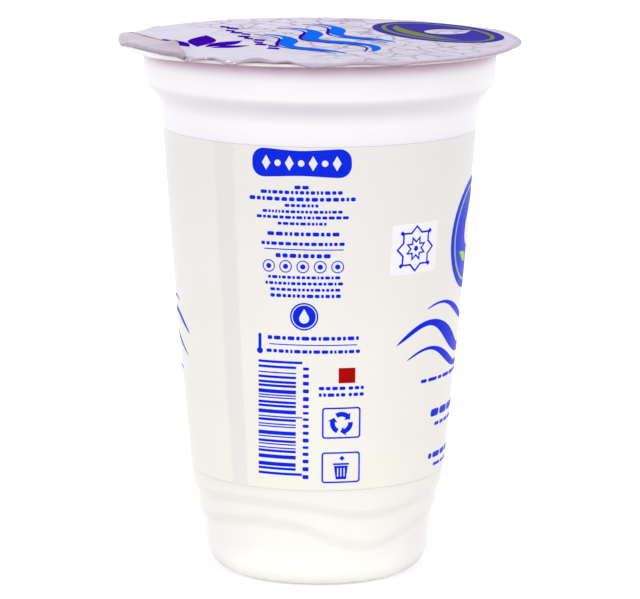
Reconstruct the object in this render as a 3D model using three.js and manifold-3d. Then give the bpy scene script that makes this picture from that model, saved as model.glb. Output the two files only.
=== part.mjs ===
// A sealed drink cup: a moulded cup with a stepped wavy foot, a wrap-round film label
// and a heat-sealed foil lid whose pull tab is folded back over the top.
// Millimetres, +Z up. The origin is the centre of the base, on the surface the cup stands on.
// An azimuth is an angle about Z from the front (-Y), positive towards +X.

import * as THREE from 'three';
import { mergeVertices } from 'three/addons/utils/BufferGeometryUtils.js';
import Module from 'manifold-3d';

// Base and foot ring
const BASE_RADIUS = 21.9;
const BASE_ROUNDING = 5;
const FOOT_RING_WIDTH = 2.4;
const RECESS_DEPTH = 1.6;
const RECESS_SLOPE = 1.2;

// Wavy steps above the foot, lower one first: radius below and above, mid height, height of the step
const LOWER_STEP = { below: 22.35, above: 23.5, mid: 11.4, rise: 3.4, crest: 1.85, trough: -2.85 };
const UPPER_STEP = { below: 23.62, above: 24.62, mid: 16.5, rise: 3.0, crest: 0.9, trough: -1.55 };
const PLAIN_BAND_TOP = 6.6;
const PLAIN_BAND_SHARE = 0.4;

// The lobes of the step lines round the foot: azimuth, share of the crest (above 0) or trough, half width
const WAVE_LOBES = [
  { at: -28, share: 1, half: 46 },
  { at: 25, share: -1, half: 36 },
  { at: 98, share: 0.6, half: 42 },
  { at: 152, share: -0.8, half: 36 },
  { at: 206, share: 0.9, half: 42 },
  { at: 256, share: -0.55, half: 36 },
];

// Label field, flush with the cup above and below it
const LABEL_BOTTOM = 20.4;
const LABEL_TOP = 87.6;
const LABEL_BOTTOM_RADIUS = 24.9;
const LABEL_TOP_RADIUS = 30.45;
const LABEL_BULGE = 0.28;
const LABEL_THICKNESS = 0.2;
const LABEL_GAP = 0.05;
const LABEL_END_GAP = 0.1;
const SEAM = { from: -40.5, to: -32.5, height: 0.1, edge: 0.15 };

// Neck, shoulder, collar and sealing flange
const NECK_RADIUS = 30.95;
const SHOULDER_BOTTOM = 90.9;
const SHOULDER_TOP = 96.9;
const SHOULDER_EASE = 1.55;
const COLLAR_RADIUS = 34.1;
const COLLAR_TOP_RADIUS = 34.3;
const COLLAR_FILLET = 1.2;
const FLANGE_RADIUS = 37.5;
const FLANGE_BOTTOM = 103.4;
const FLANGE_TOP = 104.1;
const FLANGE_EDGE = 0.25;

// Foil lid, and the lobes of its loose rim: azimuth, lift at the edge, half width
const LID_RADIUS = 39;
const LID_GAP = 0.05;
const FOIL = 0.2;
const RIM_INNER_RADIUS = 37.6;
const RIM_LOBES = [
  { at: -80, lift: -0.6, half: 9 },
  { at: -40, lift: -0.55, half: 5 },
  { at: -31.5, lift: 0.4, half: 5 },
  { at: -25.3, lift: -0.45, half: 4.5 },
  { at: -17.5, lift: 0.8, half: 7 },
  { at: -9.5, lift: 0.5, half: 5 },
  { at: -1, lift: -0.4, half: 6.5 },
  { at: 11.5, lift: 0.4, half: 8.5 },
  { at: 22, lift: -0.3, half: 6 },
  { at: 74, lift: 0.12, half: 12 },
  { at: 110, lift: 0.25, half: 16 },
  { at: 138, lift: -0.15, half: 18 },
  { at: 166, lift: -0.35, half: 16 },
  { at: 192, lift: -0.45, half: 18 },
  { at: 222, lift: -0.55, half: 18 },
  { at: 250, lift: -0.45, half: 14 },
];

// Pull tab, in the frame of its fold line: out from the axis, and along the line to the left from outside
const TAB_AZIMUTH = -63.6;
const FOLD_OUT = 38;
const FOLD_REACH = 38.9;
const FOLD_RADIUS = 0.35;
const FOLD_ALONG = { from: -15, to: 20 };
const FREE_EDGE_OUT = 31.2;
const FREE_EDGE_FROM = -2;
const FREE_EDGE_LIFT = 0.1;
const FREE_CORNER = { at: -2, lift: 0.7, half: 5 };
const TAB_ROOT = 3;
const TAB_SIDE = 0.6;

// Facets
const CUP_SEGMENTS = 96;
const LID_SEGMENTS = 144;
const ROUNDING_STEPS = 5;
const EDGE_STEPS = 2;
const SHOULDER_STEPS = 8;
const STEP_STEPS = 4;
const LABEL_STEPS = 4;
const FOLD_STEPS = 8;
const TAB_STEPS = 18;
const MERGE_DISTANCE = 1e-4;

const radians = THREE.MathUtils.degToRad;

// A smooth hump of height 1 at offset 0, down to 0 at plus and minus half.
function hump(offset, half) {
  const t = Math.min(Math.abs(offset) / half, 1);
  return Math.cos(t * Math.PI / 2) ** 2;
}

// The signed angle from one azimuth to another, the short way round.
function offsetAngle(azimuth, from) {
  const raw = azimuth - from;
  return raw - 360 * Math.round(raw / 360);
}

// How far a step line lies above its mid height at an azimuth.
function waveLift(step, azimuth) {
  let lift = 0;
  for (const lobe of WAVE_LOBES) {
    const reach = lobe.share > 0 ? step.crest : -step.trough;
    lift += reach * lobe.share * hump(offsetAngle(azimuth, lobe.at), lobe.half);
  }
  return lift;
}

// How far the lid's edge lies above its sealed plane at an azimuth.
function rimLift(azimuth) {
  let lift = 0;
  for (const lobe of RIM_LOBES) {
    lift += lobe.lift * hump(offsetAngle(azimuth, lobe.at), lobe.half);
  }
  return lift;
}

// A ring of the outline: radius, height, and how far it is lifted at each azimuth.
function ring(radius, height, lift = () => 0) {
  return { radius, height, lift };
}

// Turns rings about Z, from the front round through +X, into a closed surface.
function turned(rings, segments) {
  const outline = rings.map((each) => new THREE.Vector2(each.radius, each.height));
  const geometry = new THREE.LatheGeometry(outline, segments).rotateX(Math.PI / 2);
  const position = geometry.attributes.position;
  for (let i = 0; i < position.count; i += 1) {
    const azimuth = 360 * Math.floor(i / rings.length) / segments;
    const lift = rings[i % rings.length].lift(azimuth);
    position.setZ(i, position.getZ(i) + lift);
  }
  return geometry;
}

// The label field's outer radius at a height: a cone that swells a little at its middle.
function labelRadius(height) {
  const share = (height - LABEL_BOTTOM) / (LABEL_TOP - LABEL_BOTTOM);
  const swell = LABEL_BULGE * 4 * share * (1 - share);
  return THREE.MathUtils.lerp(LABEL_BOTTOM_RADIUS, LABEL_TOP_RADIUS, share) + swell;
}

// The heights between the label's ends where its curve is worked out.
function labelHeights() {
  const heights = [];
  for (let i = 1; i < LABEL_STEPS; i += 1) {
    heights.push(THREE.MathUtils.lerp(LABEL_BOTTOM, LABEL_TOP, i / LABEL_STEPS));
  }
  return heights;
}

// Rings of a quarter round, from one end angle to the other about a centre.
function arcRings(centreRadius, centreHeight, size, fromAngle, toAngle, steps) {
  const rings = [];
  for (let i = 0; i <= steps; i += 1) {
    const angle = radians(THREE.MathUtils.lerp(fromAngle, toAngle, i / steps));
    rings.push(ring(centreRadius + size * Math.cos(angle), centreHeight + size * Math.sin(angle)));
  }
  return rings;
}

// Rings up one wavy step: a soft overhang that follows its own step line.
function stepRings(step) {
  const lift = (azimuth) => waveLift(step, azimuth);
  const rings = [];
  for (let i = 0; i <= STEP_STEPS; i += 1) {
    const share = i / STEP_STEPS;
    const radius = THREE.MathUtils.lerp(step.below, step.above, THREE.MathUtils.smoothstep(share, 0, 1));
    rings.push(ring(radius, step.mid + step.rise * (share - 0.5), lift));
  }
  return rings;
}

function baseRings() {
  const footOuter = BASE_RADIUS - BASE_ROUNDING;
  const footInner = footOuter - FOOT_RING_WIDTH;
  const bandShare = (PLAIN_BAND_TOP - BASE_ROUNDING) / (LOWER_STEP.mid - LOWER_STEP.rise / 2 - BASE_ROUNDING);
  const bandRadius = THREE.MathUtils.lerp(BASE_RADIUS, LOWER_STEP.below, bandShare);
  return [
    ring(0, RECESS_DEPTH),
    ring(footInner - RECESS_SLOPE, RECESS_DEPTH),
    ring(footInner, 0),
    ...arcRings(footOuter, BASE_ROUNDING, BASE_ROUNDING, -90, 0, ROUNDING_STEPS),
    ring(bandRadius, PLAIN_BAND_TOP, (azimuth) => PLAIN_BAND_SHARE * waveLift(LOWER_STEP, azimuth)),
  ];
}

// The field under the label is set in by the film's thickness and its gap.
function labelFieldRings() {
  const inset = LABEL_THICKNESS + LABEL_GAP;
  const bottom = LABEL_BOTTOM - LABEL_END_GAP;
  const top = LABEL_TOP + LABEL_END_GAP;
  return [
    ring(labelRadius(bottom), bottom),
    ring(labelRadius(bottom) - inset, bottom),
    ...labelHeights().map((height) => ring(labelRadius(height) - inset, height)),
    ring(labelRadius(top) - inset, top),
    ring(labelRadius(top), top),
  ];
}

function shoulderRings() {
  const rings = [];
  for (let i = 0; i <= SHOULDER_STEPS; i += 1) {
    const share = i / SHOULDER_STEPS;
    const height = THREE.MathUtils.lerp(SHOULDER_BOTTOM, SHOULDER_TOP, share);
    const eased = THREE.MathUtils.smoothstep(share ** SHOULDER_EASE, 0, 1);
    rings.push(ring(THREE.MathUtils.lerp(NECK_RADIUS, COLLAR_RADIUS, eased), height));
  }
  return rings;
}

function flangeRings() {
  const filletRadius = COLLAR_TOP_RADIUS + COLLAR_FILLET;
  const edgeRadius = FLANGE_RADIUS - FLANGE_EDGE;
  return [
    ...arcRings(filletRadius, FLANGE_BOTTOM - COLLAR_FILLET, COLLAR_FILLET, 180, 90, ROUNDING_STEPS),
    ...arcRings(edgeRadius, FLANGE_BOTTOM + FLANGE_EDGE, FLANGE_EDGE, -90, 0, EDGE_STEPS),
    ...arcRings(edgeRadius, FLANGE_TOP - FLANGE_EDGE, FLANGE_EDGE, 0, 90, EDGE_STEPS),
    ring(0, FLANGE_TOP),
  ];
}

// The cup is shut and can't be seen into, so it is one filled solid.
function cupGeometry() {
  return turned([
    ...baseRings(),
    ...stepRings(LOWER_STEP),
    ...stepRings(UPPER_STEP),
    ...labelFieldRings(),
    ...shoulderRings(),
    ...flangeRings(),
  ], CUP_SEGMENTS);
}

// Joins loops of points into one closed surface. The loops go round to the first again, or else both ends
// are closed across, from each loop's first points to its last ones.
function lofted(loops, goesRound) {
  const size = loops[0].length;
  const index = [];
  const quad = (a, b, c, d) => index.push(a, b, c, a, c, d);
  const spans = goesRound ? loops.length : loops.length - 1;
  for (let i = 0; i < spans; i += 1) {
    const here = i * size;
    const there = ((i + 1) % loops.length) * size;
    for (let j = 0; j < size; j += 1) {
      const next = (j + 1) % size;
      quad(here + j, there + j, there + next, here + next);
    }
  }
  const last = (loops.length - 1) * size;
  for (let j = 0; j < size / 2 - 1 && !goesRound; j += 1) {
    const across = size - 1 - j;
    quad(j, j + 1, across - 1, across);
    quad(last + across, last + across - 1, last + j + 1, last + j);
  }
  const geometry = new THREE.BufferGeometry();
  const coordinates = loops.flat().flatMap((point) => point.toArray());
  geometry.setAttribute('position', new THREE.Float32BufferAttribute(coordinates, 3));
  geometry.setIndex(index);
  return geometry;
}

// The point at an azimuth, a radius and a height.
function pointAt(azimuth, radius, height) {
  const angle = radians(azimuth);
  return new THREE.Vector3(radius * Math.sin(angle), -radius * Math.cos(angle), height);
}

// A film sleeve with a raised strip where its two ends overlap.
function labelGeometry() {
  const azimuths = [SEAM.from - SEAM.edge, SEAM.from, SEAM.to, SEAM.to + SEAM.edge];
  for (let i = 0; i < CUP_SEGMENTS; i += 1) {
    azimuths.push(360 * i / CUP_SEGMENTS - 180);
  }
  azimuths.sort((a, b) => a - b);
  const heights = [LABEL_BOTTOM, ...labelHeights(), LABEL_TOP];
  const loops = azimuths.map((azimuth) => {
    const proud = azimuth >= SEAM.from && azimuth <= SEAM.to ? SEAM.height : 0;
    const outside = heights.map((height) => pointAt(azimuth, labelRadius(height) + proud, height));
    const inside = heights.map((height) => pointAt(azimuth, labelRadius(height) - LABEL_THICKNESS, height));
    return [...outside, ...inside.reverse()];
  });
  return lofted(loops, true);
}

// The round foil, flat where it is sealed and lobed along its loose rim.
function lidDisc() {
  const bottom = FLANGE_TOP + LID_GAP;
  const steps = [RIM_INNER_RADIUS, (RIM_INNER_RADIUS + LID_RADIUS) / 2, LID_RADIUS];
  const rimRing = (radius, height) => {
    const share = (radius - RIM_INNER_RADIUS) / (LID_RADIUS - RIM_INNER_RADIUS);
    return ring(radius, height, (azimuth) => share * rimLift(azimuth));
  };
  return turned([
    ring(0, bottom),
    ...steps.map((radius) => rimRing(radius, bottom)),
    ...steps.reverse().map((radius) => rimRing(radius, bottom + FOIL)),
    ring(0, bottom + FOIL),
  ], LID_SEGMENTS);
}

// Where the fold lies, out from the axis: a straight line, or the round edge where that is nearer.
function foldOut(along) {
  return Math.min(FOLD_OUT, Math.sqrt(FOLD_REACH ** 2 - along ** 2));
}

// The azimuth of a place on the fold.
function foldAzimuth(along) {
  return TAB_AZIMUTH - THREE.MathUtils.radToDeg(Math.atan2(along, foldOut(along)));
}

// How far the tab's slanting near side has come from the free edge (0) to the fold (1).
function sideShare(along) {
  return THREE.MathUtils.clamp((FREE_EDGE_FROM - along) / (FREE_EDGE_FROM - FOLD_ALONG.from), 0, 1);
}

// Where the tab's edge lies: straight along its free edge, and slanting to the fold along its near side.
function tabEdgeOut(along) {
  return THREE.MathUtils.lerp(FREE_EDGE_OUT, foldOut(FOLD_ALONG.from) - TAB_SIDE, sideShare(along));
}

// The places along the fold line where the tab is worked out.
function tabStations() {
  const stations = [];
  for (let i = 0; i <= TAB_STEPS; i += 1) {
    stations.push(THREE.MathUtils.lerp(FOLD_ALONG.from, FOLD_ALONG.to, i / TAB_STEPS));
  }
  return stations;
}

// From the frame of the tab's fold line (out, up, along) to the part's frame.
function tabFrame() {
  const angle = radians(TAB_AZIMUTH);
  const out = new THREE.Vector3(Math.sin(angle), -Math.cos(angle), 0);
  const up = new THREE.Vector3(0, 0, 1);
  return new THREE.Matrix4().makeBasis(out, up, out.clone().cross(up));
}

// The tab's line across its fold: out along the seal, round the fold on the loose rim and back to its edge.
function tabPath(along) {
  const sealed = FLANGE_TOP + LID_GAP + FOIL / 2;
  const turn = foldOut(along) - FOLD_RADIUS;
  const seal = Math.min(Math.sqrt(RIM_INNER_RADIUS ** 2 - along ** 2), turn - FOLD_RADIUS);
  const droop = rimLift(foldAzimuth(along));
  const path = [new THREE.Vector2(turn - TAB_ROOT, sealed), new THREE.Vector2(seal, sealed)];
  for (let i = 0; i <= FOLD_STEPS; i += 1) {
    const angle = Math.PI * (i / FOLD_STEPS - 0.5);
    const up = sealed + droop + FOLD_RADIUS + FOLD_RADIUS * Math.sin(angle);
    path.push(new THREE.Vector2(turn + FOLD_RADIUS * Math.cos(angle), up));
  }
  const curl = FREE_EDGE_LIFT + FREE_CORNER.lift * hump(along - FREE_CORNER.at, FREE_CORNER.half);
  const lift = THREE.MathUtils.lerp(curl, droop, sideShare(along));
  path.push(new THREE.Vector2(tabEdgeOut(along), sealed + 2 * FOLD_RADIUS + lift));
  return path;
}

// A loop of points down one side of a path and back along the other, a foil's thickness apart.
function foilLoop(path, along) {
  const near = [];
  const far = [];
  path.forEach((point, i) => {
    const before = path[Math.max(i - 1, 0)];
    const after = path[Math.min(i + 1, path.length - 1)];
    const heading = after.clone().sub(before).normalize();
    const side = new THREE.Vector2(-heading.y, heading.x).multiplyScalar(FOIL / 2);
    near.push(new THREE.Vector3(point.x + side.x, point.y + side.y, along));
    far.unshift(new THREE.Vector3(point.x - side.x, point.y - side.y, along));
  });
  return [...near, ...far];
}

function tabFoil() {
  const loops = tabStations().map((along) => foilLoop(tabPath(along), along));
  return lofted(loops, false).applyMatrix4(tabFrame());
}

// A tall prism over what lies beyond the fold, which has been turned up into the tab.
function beyondFold() {
  const shape = new THREE.Shape();
  shape.moveTo(LID_RADIUS + TAB_ROOT, FOLD_ALONG.from);
  shape.lineTo(LID_RADIUS + TAB_ROOT, FOLD_ALONG.to);
  for (const along of tabStations().reverse()) {
    shape.lineTo(foldOut(along) - FOLD_RADIUS, along);
  }
  const prism = new THREE.ExtrudeGeometry(shape, { depth: 2 * FLANGE_TOP, bevelEnabled: false });
  return prism.rotateX(Math.PI / 2).translate(0, 2 * FLANGE_TOP, 0).applyMatrix4(tabFrame());
}

const wasm = await Module();
wasm.setup();

function solidOf(geometry) {
  const bare = geometry.clone();
  bare.deleteAttribute('normal');
  bare.deleteAttribute('uv');
  const merged = mergeVertices(bare, MERGE_DISTANCE);
  return new wasm.Manifold(new wasm.Mesh({
    numProp: 3,
    vertProperties: new Float32Array(merged.attributes.position.array),
    triVerts: new Uint32Array(merged.index.array),
  }));
}

function geometryOf(solid) {
  const mesh = solid.getMesh();
  const geometry = new THREE.BufferGeometry();
  geometry.setAttribute('position', new THREE.BufferAttribute(new Float32Array(mesh.vertProperties), 3));
  geometry.setIndex(new THREE.BufferAttribute(new Uint32Array(mesh.triVerts), 1));
  return geometry;
}

function lidGeometry() {
  return geometryOf(solidOf(lidDisc()).subtract(solidOf(beyondFold())).add(solidOf(tabFoil())));
}

const cupPlastic = new THREE.MeshStandardMaterial({ color: 0xf4f2f3, roughness: 0.38, metalness: 0 });
const labelFilm = new THREE.MeshStandardMaterial({ color: 0xf1eee7, roughness: 0.45, metalness: 0 });
const lidFoil = new THREE.MeshStandardMaterial({ color: 0xdcd8e6, roughness: 0.35, metalness: 0.3 });

function piece(name, geometry, material) {
  const mesh = new THREE.Mesh(geometry, material);
  mesh.name = name;
  return mesh;
}

const drinkCup = new THREE.Group();
drinkCup.add(piece('cup', cupGeometry(), cupPlastic));
drinkCup.add(piece('label', labelGeometry(), labelFilm));
drinkCup.add(piece('lid', lidGeometry(), lidFoil));

export default drinkCup;
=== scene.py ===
import math
import random
from collections import namedtuple

import bmesh
import bpy
from mathutils import Matrix, Vector
from mathutils.geometry import tessellate_polygon


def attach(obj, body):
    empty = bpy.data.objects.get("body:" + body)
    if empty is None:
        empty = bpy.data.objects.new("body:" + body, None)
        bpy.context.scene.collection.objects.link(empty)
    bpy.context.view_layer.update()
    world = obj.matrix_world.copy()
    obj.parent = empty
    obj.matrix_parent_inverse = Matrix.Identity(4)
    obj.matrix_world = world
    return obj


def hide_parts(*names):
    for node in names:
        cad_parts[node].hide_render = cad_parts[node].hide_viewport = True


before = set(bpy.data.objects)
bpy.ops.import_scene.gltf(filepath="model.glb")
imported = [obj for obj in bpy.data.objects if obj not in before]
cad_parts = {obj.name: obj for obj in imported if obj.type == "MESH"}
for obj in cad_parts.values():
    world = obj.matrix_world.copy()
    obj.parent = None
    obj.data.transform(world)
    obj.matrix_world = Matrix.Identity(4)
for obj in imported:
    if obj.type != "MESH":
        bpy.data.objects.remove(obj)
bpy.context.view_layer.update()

# Lengths are in millimetres and angles in degrees until a point is placed, which turns them into metres.
# An azimuth is an angle about Z from the front (-Y), positive towards +X.
MM = 0.001

# Base and foot ring
BASE_RADIUS = 21.9
BASE_ROUNDING = 5
FOOT_RING_WIDTH = 2.4
RECESS_DEPTH = 1.6
RECESS_SLOPE = 1.2
RECESS_EDGE = 0.4

# Wavy steps above the foot: radius below and above, mid height, height, reach of its line up and down
Step = namedtuple("Step", "below above mid rise crest trough")
LOWER_STEP = Step(22.35, 23.5, 11.4, 3.4, 1.85, 2.85)
UPPER_STEP = Step(23.62, 24.62, 16.5, 3.0, 0.9, 1.55)
PLAIN_BAND_TOP = 6.6
PLAIN_BAND_SHARE = 0.4

# The lobes of the step lines round the foot: azimuth, share of the crest (above 0) or trough, half width
Lobe = namedtuple("Lobe", "at reach half")
WAVE_LOBES = [
    Lobe(-28, 1, 46), Lobe(25, -1, 36), Lobe(98, 0.6, 42),
    Lobe(152, -0.8, 36), Lobe(206, 0.9, 42), Lobe(256, -0.55, 36),
]

# Label field and film
LABEL_BOTTOM = 20.4
LABEL_TOP = 87.6
LABEL_BOTTOM_RADIUS = 24.9
LABEL_TOP_RADIUS = 30.45
LABEL_BULGE = 0.28
LABEL_THICKNESS = 0.2
LABEL_GAP = 0.05
LABEL_END_GAP = 0.04
SEAM_FROM = -40.5
SEAM_TO = -32.5
SEAM_HEIGHT = 0.1
SEAM_EDGE = 0.15

# Neck, shoulder, collar and sealing flange
NECK_RADIUS = 30.95
SHOULDER_BOTTOM = 90.9
SHOULDER_TOP = 96.9
SHOULDER_EASE = 1.55
COLLAR_RADIUS = 34.1
COLLAR_TOP_RADIUS = 34.3
COLLAR_FILLET = 1.2
FLANGE_RADIUS = 37.5
FLANGE_BOTTOM = 103.4
FLANGE_TOP = 104.1
FLANGE_EDGE = 0.25

# The flange's edge isn't quite round or level: azimuth, move out or up, half width
FLANGE_BULGES = [Lobe(-63.6, 0.7, 32), Lobe(-4, 0.35, 40)]
FLANGE_SAGS = [Lobe(-62, -0.4, 34), Lobe(8, 0.15, 36)]

# Foil lid, and the lobes of its loose rim: azimuth, lift at the edge, half width
LID_RADIUS = 39
LID_GAP = 0.05
FOIL = 0.2
SEALED = FLANGE_TOP + LID_GAP + FOIL / 2
RIM_INNER_RADIUS = 37.6
RIM_LOBES = [
    Lobe(-80, -0.6, 9), Lobe(-40, -0.55, 5), Lobe(-31.5, 0.4, 5), Lobe(-25.3, -0.45, 4.5),
    Lobe(-17.5, 0.8, 7), Lobe(-9.5, 0.5, 5), Lobe(-1, -0.4, 6.5), Lobe(11.5, 0.4, 8.5),
    Lobe(22, -0.3, 6), Lobe(74, 0.12, 12), Lobe(110, 0.25, 16), Lobe(138, -0.15, 18),
    Lobe(166, -0.35, 16), Lobe(192, -0.45, 18), Lobe(222, -0.55, 18), Lobe(250, -0.45, 14),
]

# Pull tab, in the frame of its fold line: out from the axis, and along the line to the left from outside
TAB_AZIMUTH = -63.6
FOLD_OUT = 38
FOLD_REACH = 38.9
FOLD_RADIUS = 0.35
FOLD_FROM = -15
FOLD_TO = 20
FREE_EDGE_OUT = 31.2
FREE_EDGE_FROM = -2
FREE_EDGE_LIFT = 0.1
# Width of the dark line painted along the tab's free edge, which is painted shadow
EDGE_SHADOW_LINE = 0.55
FREE_CORNER = Lobe(-2, 0.7, 5)
TAB_SIDE = 0.6

# The rim's edge turns down in a narrow lip: where it starts, its height, and where it is taller
LIP_START = 0.68
LIP = 0.15
LIP_LOBES = [Lobe(-18, 0.42, 8), Lobe(11, 0.25, 14)]
LIP_DRAW_IN = 0.5

# Fine crinkles of the loose rim: height, and how many go round
CRINKLE = 0.05
CRINKLE_COUNTS = (47, 83, 131)

# Mesh steps
CUP_COLUMNS = 288
LABEL_COLUMNS = 360
LABEL_ROWS = 40
LID_COLUMNS = 720
TAB_COLUMNS = 48
LID_RINGS = 16
RIM_RINGS = 16
CURL_STEPS = 12
ROUNDING_STEPS = 10
STEP_STEPS = 14
SHOULDER_STEPS = 24
SHARP_ANGLE = 35

# Print
INK_BELOW = -0.02
INK_ABOVE = 0.03
INK_STEP = 0.8
INK_ROW = 6
LABEL_INK_GLOSS = 0.05
LID_INK_GLOSS = 0
ROUND_STEPS = 40

# Light: the colours and strengths of a tent round the part, and one lamp above it
TENT_LOW_WALL = (0.975, 1, 1, 1)
TENT_HIGH_WALL = (0.615, 0.63, 0.63, 1)
TENT_ROOF = (0.07, 0.07, 0.07, 1)
TENT_BOUNCE = (0.235, 0.205, 0.222, 1)
TENT_FRONT = 2.42
TENT_BACK = 1.45
TENT_LEFT = 1.01
TENT_RIGHT = 0.955
LAMP_PLACE = Vector((0, 300, 1200))
LAMP_TARGET = Vector((0, 250, 0))
LAMP_SIZE = 500
LAMP_POWER = 7.8

# Floor, and a round card in front of the part that lights its foot
FLOOR_HALF = 6000
FLOOR_DEPTH = 0.02
CARD_DEPTH = 0.04
CARD_RADIUS = 33
CARD_AHEAD = 40

# Camera, with its tilt down and its roll
CAMERA_PLACE = Vector((0, -760, 194))
CAMERA_DOWN = 11.51
CAMERA_ROLL = 0.33
SENSOR = 36
LENS = 221.5
LENS_SHIFT = (0.003, 0.1078)


# Small sums

def lerp(low, high, share):
    return low + (high - low) * share


def clamp(value, low, high):
    return max(low, min(high, value))


def smooth(share):
    return share * share * (3 - 2 * share)


def steps(low, high, count):
    return [lerp(low, high, i / count) for i in range(count + 1)]


def hump(offset, half):
    """A smooth hump of height 1 at offset 0, down to 0 at plus and minus half."""
    share = min(abs(offset) / half, 1)
    return math.cos(share * math.pi / 2) ** 2


def offset_angle(azimuth, start):
    """The signed angle from one azimuth to another, the short way round."""
    raw = azimuth - start
    return raw - 360 * round(raw / 360)


def lobed(lobes, azimuth, up=1, down=1):
    """The sum of the lobes at an azimuth, each times its reach up or down."""
    total = 0
    for lobe in lobes:
        scale = up if lobe.reach > 0 else down
        total += scale * lobe.reach * hump(offset_angle(azimuth, lobe.at), lobe.half)
    return total


def wave_lift(step, azimuth):
    return lobed(WAVE_LOBES, azimuth, step.crest, step.trough)


def spoke(across, up, reach, angle):
    """The flat point at a reach and an angle from a middle."""
    turn = math.radians(angle)
    return across + reach * math.cos(turn), up + reach * math.sin(turn)


def point_at(azimuth, radius, height):
    angle = math.radians(azimuth)
    return Vector((radius * math.sin(angle), -radius * math.cos(angle), height)) * MM


def label_radius(height):
    """The label's outer radius at a height: a cone that swells a little at its middle."""
    share = (height - LABEL_BOTTOM) / (LABEL_TOP - LABEL_BOTTOM)
    swell = LABEL_BULGE * 4 * share * (1 - share)
    return lerp(LABEL_BOTTOM_RADIUS, LABEL_TOP_RADIUS, share) + swell


# Materials

def srgb(red, green, blue):
    """A colour from 0 to 255 a channel, as the linear values that shaders take."""
    linear = []
    for channel in (red, green, blue):
        value = channel / 255
        linear.append(value / 12.92 if value <= 0.04045 else ((value + 0.055) / 1.055) ** 2.4)
    return (*linear, 1)


def feed(socket, value):
    """Links an input socket to another node's output, or sets its value."""
    if isinstance(value, bpy.types.NodeSocket):
        socket.id_data.links.new(value, socket)
    else:
        socket.default_value = value


def node(tree, kind, sockets, **settings):
    """A node with its settings, and its input sockets linked or set."""
    made = tree.nodes.new(kind)
    for name, value in settings.items():
        setattr(made, name, value)
    for socket, value in sockets.items():
        feed(made.inputs[socket], value)
    return made


def vector(tree, operation, first, output="Vector", **sockets):
    """A sum on vectors, with its first input given and its others by name."""
    named = {1 if name == "second" else name: value for name, value in sockets.items()}
    return node(tree, "ShaderNodeVectorMath", {0: first, **named}, operation=operation).outputs[output]


def new_material(name):
    """A material with its tree and the object's own coordinates in millimetres."""
    material = bpy.data.materials.new(name)
    material.use_nodes = True
    tree = material.node_tree
    coordinates = tree.nodes.new("ShaderNodeTexCoord")
    return material, tree, vector(tree, "SCALE", coordinates.outputs["Object"], Scale=1 / MM)


def finished(material, **values):
    """The material, with its shader's inputs linked or set by their names in small letters."""
    shader = material.node_tree.nodes["Principled BSDF"]
    for name, value in values.items():
        feed(shader.inputs[name.replace("_", " ").title().replace("Ior", "IOR")], value)
    return material


def axis(tree, place, name):
    return node(tree, "ShaderNodeSeparateXYZ", {"Vector": place}).outputs[name]


def noise(tree, place, scale, detail=3, roughness=0.5):
    sockets = {"Vector": place, "Scale": scale, "Detail": detail, "Roughness": roughness}
    return node(tree, "ShaderNodeTexNoise", sockets).outputs["Fac"]


def ramp(tree, value, stops):
    """A colour ramp through (position, colour) stops."""
    made = node(tree, "ShaderNodeValToRGB", {"Fac": value})
    elements = made.color_ramp.elements
    while len(elements) < len(stops):
        elements.new(0.5)
    for element, (position, colour) in zip(elements, stops):
        element.position = position
        element.color = colour
    return made.outputs["Color"]


def spread(tree, value, low, high, out_low, out_high):
    sockets = {"Value": value, "From Min": low, "From Max": high, "To Min": out_low, "To Max": out_high}
    return node(tree, "ShaderNodeMapRange", sockets).outputs["Result"]


def mixed(tree, share, first, second):
    """Two colours mixed by a share. The node's colour sockets are its sixth and seventh."""
    made = node(tree, "ShaderNodeMix", {0: share, 6: first, 7: second}, data_type="RGBA")
    return made.outputs[2]


def maths(tree, operation, first, second=0.0):
    return node(tree, "ShaderNodeMath", {0: first, 1: second}, operation=operation).outputs["Value"]


def product(tree, first, *others):
    for other in others:
        first = maths(tree, "MULTIPLY", first, other)
    return first


def bump(tree, height, strength, distance):
    made = node(tree, "ShaderNodeBump", {"Height": height, "Strength": strength, "Distance": distance})
    return made.outputs["Normal"]


def cup_material():
    """White moulded plastic: warm where drink stands behind it and cooler above, with painted light at the
    very bottom, painted shade under the shoulder, a rosy painted shadow under the flange and a painted
    brighter flange edge.
    """
    material, tree, place = new_material("cup_plastic")
    height = spread(tree, axis(tree, place, "Z"), 0, FLANGE_TOP, 0, 1)
    # Tone by height: warm low down and cool high up for the drink behind the wall. The stops also hold
    # painted light and shade: a brighter very bottom, a slightly darker band under the shoulder, and a
    # darker, rosy painted shadow under the flange from 0.972 up.
    tone = ramp(tree, height, [
        (0, srgb(251, 249, 247)), (0.08, srgb(242, 240, 236)), (0.18, srgb(241, 238, 231)),
        (0.84, srgb(250, 249, 253)), (0.866, srgb(249, 248, 252)), (0.888, srgb(246, 245, 250)),
        (0.912, srgb(251, 250, 254)), (0.93, srgb(252, 252, 255)), (0.962, srgb(251, 251, 255)),
        (0.972, srgb(239, 234, 242)), (0.982, srgb(212, 190, 206)), (0.9935, srgb(174, 126, 148)),
    ])
    cloud = spread(tree, noise(tree, place, 0.09, 2), 0.35, 0.7, 0, 0.2)
    mottled = mixed(tree, cloud, tone, srgb(241, 240, 241))
    reach = vector(tree, "LENGTH", vector(tree, "MULTIPLY", place, second=(1, 1, 0)), "Value")
    # Painted highlight: the flange's outer edge is painted brighter white than the rest of the plastic.
    edge = spread(tree, reach, FLANGE_RADIUS - 1, FLANGE_RADIUS - 0.6, 0, 1)
    grain = noise(tree, place, 3.5, 4)
    return finished(
        material, base_color=mixed(tree, edge, mottled, srgb(253, 253, 253)),
        roughness=spread(tree, grain, 0.3, 0.7, 0.3, 0.4), normal=bump(tree, grain, 0.05, 0.0001),
        ior=1.49, subsurface_weight=0.2, subsurface_scale=0.002, subsurface_radius=(1, 0.9, 0.86),
    )


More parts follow.
